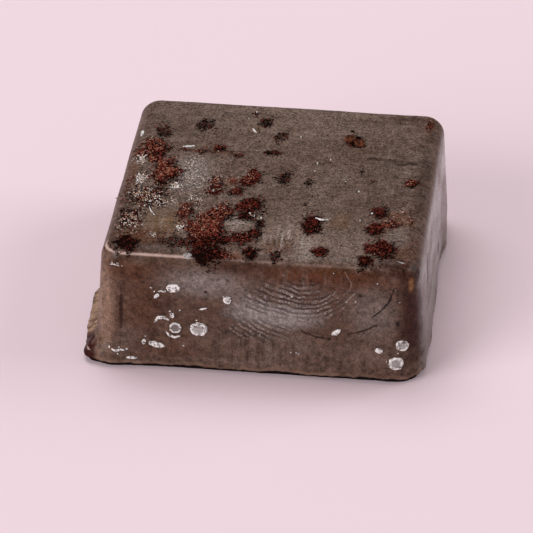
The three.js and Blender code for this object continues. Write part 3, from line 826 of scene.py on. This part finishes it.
# Bent flakes and slivers, in mm: face, the points they run through, half width, thickness and how pale.
FLAKE_STRIPS = [
    ("front", [(-9.3, 4.75), (-8.95, 5.25), (-8.45, 5.35), (-7.95, 5.05)], 0.17, 0.13, 1.0),
    ("front", [(-8.25, 3.95), (-7.95, 3.55), (-7.45, 3.4), (-6.95, 3.55)], 0.13, 0.12, 1.0),
    ("front", [(-5.25, 6.35), (-4.9, 6.45), (-4.55, 6.55)], 0.08, 0.10, 1.0),
    ("front", [(-9.0, 7.9), (-8.7, 8.0), (-8.3, 7.85)], 0.07, 0.09, 0.8),
    ("top", [(-9.3, 4.8), (-8.75, 4.9), (-8.2, 5.05)], 0.13, 0.12, 0.75),
    ("top", [(4.2, -6.6), (4.75, -6.9), (5.35, -6.7)], 0.13, 0.12, 0.9),
    ("top", [(-10.9, -6.3), (-10.6, -7.1), (-10.15, -7.8)], 0.04, 0.08, 0.8),
    ("top", [(-3.3, 8.85), (-3.1, 8.45), (-2.85, 8.05)], 0.10, 0.12, 0.75),
    ("top", [(12.2, -13.0), (12.6, -13.15), (13.0, -13.15)], 0.05, 0.06, 0.55),
    # These two slivers at the front's left corner are painted glints, not flakes.
    ("front", [(-13.2, 1.8), (-12.8, 1.65), (-12.4, 1.8), (-12.0, 1.75)], 0.12, 0.08, 0.9),
    ("front", [(-13.3, 10.2), (-12.9, 10.3), (-12.4, 10.2)], 0.06, 0.07, 0.8),
    ("top", [(-6.8, -13.7), (-6.4, -13.8), (-6.0, -13.75)], 0.22, 0.08, 0.45),
]
# White specks, in mm: on the top across and back, on the front across and up; those at the front's left
# corner are painted glints.
TOP_SPECKS = [
    (-1.67, -6.67), (-1.23, -7.01), (-0.6, -7.31), (-5.45, -3.05), (3.38, 3.14), (4.51, 3.92), (3.31, 1.66),
    (7.64, -1.51), (9.22, -5.32), (1.34, 7.8), (8.25, -6.5), (-3.87, 10.65), (-3.26, 11.87), (-11.42, -0.72),
]
FRONT_SPECKS = [
    (6.7, 10.8), (3.0, 8.25), (7.1, 8.45), (7.9, 8.05), (8.7, 8.15), (12.2, 9.55), (12.6, 8.35),
    (10.6, 10.1), (3.0, 2.65), (3.5, 2.65), (3.7, 2.55), (-9.6, 8.25), (-7.0, 6.15), (-5.5, 5.25),
    # From (-13.1, 10.4) on, the seven specks at the front's left corner are painted glints.
    (11.6, 2.35), (12.6, 3.25), (-13.1, 10.4), (-12.6, 10.45), (-12.2, 10.25), (-13.4, 1.95),
    (-12.6, 1.4), (-12.5, 2.05), (-11.8, 1.9), (-8.3, 8.0), (-9.3, 7.9), (-10.1, 3.3), (-7.9, 6.0),
    (-6.7, 2.6), (-7.0, 3.0), (0.2, 4.2), (-3.1, 7.8),
]
SPECK_HALF = (0.045, 0.11)
SPECK_SQUASH = 0.7
SPECK_TURN_DEGREES = 180
SPECK_SEED = 3
FRONT_SPECK_THICKNESS = 0.07
TOP_SPECK_THICKNESS = 0.16
SPECK_KINDS = [
    ("front", FRONT_SPECKS, FRONT_SPECK_THICKNESS),
    ("top", TOP_SPECKS, TOP_SPECK_THICKNESS),
]
LOOK_IN = {"front": Vector((0.0, 1.0, 0.0)), "top": Vector((0.0, 0.0, -1.0))}
DRAFT = math.atan2((BASE_WIDTH - TOP_WIDTH) / 2, HEIGHT)
LOOK_OUT = {"front": Vector((0.0, -math.cos(DRAFT), math.sin(DRAFT))), "top": Vector((0.0, 0.0, 1.0))}


def skin_of(piece):
    """A search tree over a piece's surface."""
    shell = bmesh.new()
    shell.from_mesh(piece.data)
    tree = BVHTree.FromBMesh(shell)
    shell.free()
    return tree


def lay(skin, face, across, along, rise):
    """The place that much above the block's skin, seen square to its front or top, in metres."""
    far = 20.0
    start = Vector((across, -far, along)) if face == "front" else Vector((across, along, far))
    place = skin.ray_cast(start * MM, LOOK_IN[face])[0]
    return place + LOOK_OUT[face] * (rise * MM)


def disc(shell, rim_mark, skin, face, middle, half, turn, thick, hollow, draw):
    """One flat flake with a ragged outline, a raised rim and a hollow middle, closed underneath."""
    waves = [(number, draw.uniform(-OUTLINE_SWING, OUTLINE_SWING), draw.uniform(0.0, FULL_TURN))
             for number in OUTLINE_WAVES]
    cos, sin = math.cos(math.radians(turn)), math.sin(math.radians(turn))

    def point(ring, step, rise):
        angle = math.tau * step / CORNERS_ROUND
        out = ring * (1.0 + sum(size * math.cos(number * angle + phase) for number, size, phase in waves))
        u, v = half[0] * out * math.cos(angle), half[1] * out * math.sin(angle)
        return lay(skin, face, middle[0] + u * cos - v * sin, middle[1] + u * sin + v * cos, rise)

    def vert(place, rim):
        made = shell.verts.new(place)
        made[rim_mark] = rim
        return made

    layers = []
    for ring in RINGS:
        rim = max(0.0, 1.0 - abs(ring - RIM_RING) / RIM_WIDTH)
        inner_rise = 1.0 - HOLLOW_DEPTH * hollow * (1.0 - rim)
        rise = thick * (inner_rise if ring < 1.0 else OUTER_RISE)
        rise_steps = [rise * draw.uniform(*RISE_SPREAD) for _ in range(CORNERS_ROUND)]
        pale = 1.0 - hollow * (1.0 - rim)
        layers.append([vert(point(ring, step, rise_steps[step]), pale) for step in range(CORNERS_ROUND)])
    layers.append([vert(point(1.0, step, -FLAKE_SUNK), 1.0) for step in range(CORNERS_ROUND)])
    top = vert(point(0.0, 0, thick * (1.0 - HOLLOW_DEPTH * hollow)), 1.0 - hollow)
    base = vert(point(0.0, 0, -FLAKE_SUNK), 1.0)
    for step in range(CORNERS_ROUND):
        after = (step + 1) % CORNERS_ROUND
        shell.faces.new((top, layers[0][step], layers[0][after]))
        for inner, outer in zip(layers, layers[1:]):
            shell.faces.new((inner[step], outer[step], outer[after], inner[after]))
        shell.faces.new((base, layers[-1][after], layers[-1][step]))


def strip(shell, rim_mark, skin, face, points, half_width, thick, pale, draw):
    """One bent flake or sliver: a low ridge along a line, pointed at both ends."""
    path = []
    for start, end in zip(points, points[1:]):
        path += [Vector(start).lerp(Vector(end), step / STRIP_STEPS) for step in range(STRIP_STEPS)]
    path.append(Vector(points[-1]))
    section = ((-1.0, -FLAKE_SUNK), (-0.8, thick * 0.7), (0.0, thick), (0.8, thick * 0.6), (1.0, -FLAKE_SUNK))
    rows = []
    for number, here in enumerate(path):
        run = path[min(number + 1, len(path) - 1)] - path[max(number - 1, 0)]
        side = Vector((-run.y, run.x)).normalized()
        swell = math.sin(math.pi * number / (len(path) - 1))
        wide = half_width * (STRIP_TIP + (1.0 - STRIP_TIP) * max(swell, 0.0) ** 0.5)
        wide = wide * draw.uniform(*WIDTH_SPREAD)
        row = []
        for off, rise in section:
            spot = here + side * (wide * off)
            made = shell.verts.new(lay(skin, face, spot.x, spot.y, rise * (0.5 + 0.5 * swell)))
            made[rim_mark] = pale
            row.append(made)
        rows.append(row)
    for near, far in zip(rows, rows[1:]):
        for left in range(len(section)):
            after = (left + 1) % len(section)
            shell.faces.new((near[left], near[after], far[after], far[left]))
    shell.faces.new(rows[0][::-1])
    shell.faces.new(rows[-1])


def laid_piece(name, discs, strips, seed, material):
    """All flakes of one kind as one mesh laid on the block."""
    draw = random.Random(seed)
    skin = skin_of(block)
    shell = bmesh.new()
    rim_mark = shell.verts.layers.float.new("rim")
    for face, middle, half, turn, thick, hollow in discs:
        disc(shell, rim_mark, skin, face, middle, half, turn, thick, hollow, draw)
    for face, points, half_width, thick, pale in strips:
        strip(shell, rim_mark, skin, face, points, half_width, thick, pale, draw)
    bmesh.ops.recalc_face_normals(shell, faces=shell.faces)
    mesh = bpy.data.meshes.new(name)
    shell.to_mesh(mesh)
    shell.free()
    mesh.shade_smooth()
    mesh.materials.append(material)
    piece = bpy.data.objects.new(name, mesh)
    bpy.context.scene.collection.objects.link(piece)
    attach(piece, "root")
    return piece


def flake_material():
    material, tree, shader, place = new_material("pale_flake")
    mottled = noise(place, 3.8, 3.0, 0.75)
    colour = mottled.step(0.38, 0.56).mixed(FLAKE_GREY, FLAKE_WHITE)
    hollow = (1.0 - attribute(tree, "rim") + (mottled - 0.5) * 1.5).step(0.25, 0.8)
    colour = hollow.mixed(colour, FLAKE_HOLLOW)
    paint(shader, Base_Color=colour, Roughness=0.5, Specular_IOR_Level=0.4, Normal=bump(mottled, 0.6, 0.06))
    return material


speck_draw = random.Random(SPECK_SEED)
speck_discs = []
for face, places, thick in SPECK_KINDS:
    for place in places:
        half = (speck_draw.uniform(*SPECK_HALF), speck_draw.uniform(*SPECK_HALF) * SPECK_SQUASH)
        speck_discs.append((face, place, half, speck_draw.uniform(0, SPECK_TURN_DEGREES), thick, 0.0))
flakes = laid_piece("pale_flakes_and_glints", FLAKE_DISCS + speck_discs, FLAKE_STRIPS, FLAKE_SEED, flake_material())


# The nuggets
# Two smooth lumps of cocoa side by side at the back of the top, brown and rounder than the loose grains. They
# are laid like the flat flakes, and the list says the same of each.
NUGGET_DARK = (0.010, 0.003, 0.002, 1.0)
NUGGET_BROWN = (0.145, 0.040, 0.016, 1.0)
NUGGET_SEED = 5
NUGGETS = [
    ("top", (5.9, 7.9), (0.50, 0.70), 0, 0.16, 0.0), ("top", (6.85, 7.15), (0.50, 0.62), 20, 0.16, 0.0),
]


def nugget_material():
    material, tree, shader, place = new_material("cocoa_nugget")
    mottled = noise(place, 3.2, 3.0, 0.75)
    colour = mottled.step(0.37, 0.62).mixed(NUGGET_DARK, NUGGET_BROWN)
    paint(shader, Base_Color=colour, Roughness=0.5, Specular_IOR_Level=0.06, Normal=bump(mottled, 0.6, 0.08))
    return material


nuggets = laid_piece("cocoa_nuggets", NUGGETS, [], NUGGET_SEED, nugget_material())


# The floor, the light and the camera
# A plain pale floor under three soft square lights, one above and behind, one at the front left and one at
# the right, and a long lens that looks down at the front of the block and a little from its right.
FLOOR_COLOUR = (0.86, 0.68, 0.74, 1.0)
FLOOR_WIDTH = 4.0
FLOOR_DROP = 0.00002
half_floor = FLOOR_WIDTH / 2
floor_mesh = bpy.data.meshes.new("floor")
floor_corners = [(side * half_floor, end * half_floor, -FLOOR_DROP)
                 for side, end in ((-1, -1), (1, -1), (1, 1), (-1, 1))]
floor_mesh.from_pydata(floor_corners, [], [(0, 1, 2, 3)])
floor = bpy.data.objects.new("floor", floor_mesh)
bpy.context.scene.collection.objects.link(floor)
floor_material, _, floor_shader, _ = new_material("pale_floor")
paint(floor_shader, Base_Color=FLOOR_COLOUR, Roughness=0.9, Specular_IOR_Level=0.1)
floor_mesh.materials.append(floor_material)


def softbox(name, place, width, power):
    """A square soft light that looks at the origin."""
    light = bpy.data.lights.new(name, "AREA")
    light.size = width
    light.energy = power
    lamp = bpy.data.objects.new(name, light)
    lamp.location = place
    lamp.rotation_euler = (-Vector(place)).to_track_quat("-Z", "Y").to_euler()
    bpy.context.scene.collection.objects.link(lamp)


# Each light's place and width in metres, and its power in watts.
LIGHTS = {
    "top_light": ((-0.12, 0.16, 0.45), 0.35, 1.1),
    "left_light": ((-0.42, -0.42, 0.26), 0.40, 2.85),
    "right_light": ((0.42, 0.14, 0.24), 0.40, 1.2),
}
WORLD_COLOUR = (1.0, 0.97, 0.97, 1.0)
WORLD_STRENGTH = 0.22
for light_name, (light_place, light_width, light_power) in LIGHTS.items():
    softbox(light_name, light_place, light_width, light_power)
world = bpy.data.worlds.new("studio")
bpy.context.scene.world = world
world.use_nodes = True
world.node_tree.nodes["Background"].inputs["Color"].default_value = WORLD_COLOUR
world.node_tree.nodes["Background"].inputs["Strength"].default_value = WORLD_STRENGTH

CAMERA_AZIMUTH = math.radians(6.44)
CAMERA_ELEVATION = math.radians(31.87)
CAMERA_ROLL = math.radians(0.33)
CAMERA_DISTANCE = 392.6 * MM
CAMERA_VIEW = math.radians(7.2)
IMAGE_SIDE = 533
BASE_MIDDLE_PIXEL = (276.4, 288.2)
back = Vector((math.sin(CAMERA_AZIMUTH) * math.cos(CAMERA_ELEVATION),
               -math.cos(CAMERA_AZIMUTH) * math.cos(CAMERA_ELEVATION), math.sin(CAMERA_ELEVATION)))
level = Vector((math.cos(CAMERA_AZIMUTH), math.sin(CAMERA_AZIMUTH), 0.0))
steep = back.cross(level)
right = level * math.cos(CAMERA_ROLL) + steep * math.sin(CAMERA_ROLL)
upward = steep * math.cos(CAMERA_ROLL) - level * math.sin(CAMERA_ROLL)
lens = bpy.data.cameras.new("camera")
lens.sensor_fit = "HORIZONTAL"
lens.angle = CAMERA_VIEW
lens.clip_start = 0.01
lens.clip_end = 20.0
lens.shift_x = (IMAGE_SIDE / 2 - BASE_MIDDLE_PIXEL[0]) / IMAGE_SIDE
lens.shift_y = (BASE_MIDDLE_PIXEL[1] - IMAGE_SIDE / 2) / IMAGE_SIDE
camera = bpy.data.objects.new("camera", lens)
turn = Matrix((right, upward, back)).transposed().to_4x4()
camera.matrix_world = Matrix.Translation(back * CAMERA_DISTANCE) @ turn
bpy.context.scene.collection.objects.link(camera)
bpy.context.scene.camera = camera
bpy.context.scene.view_settings.view_transform = "Standard"
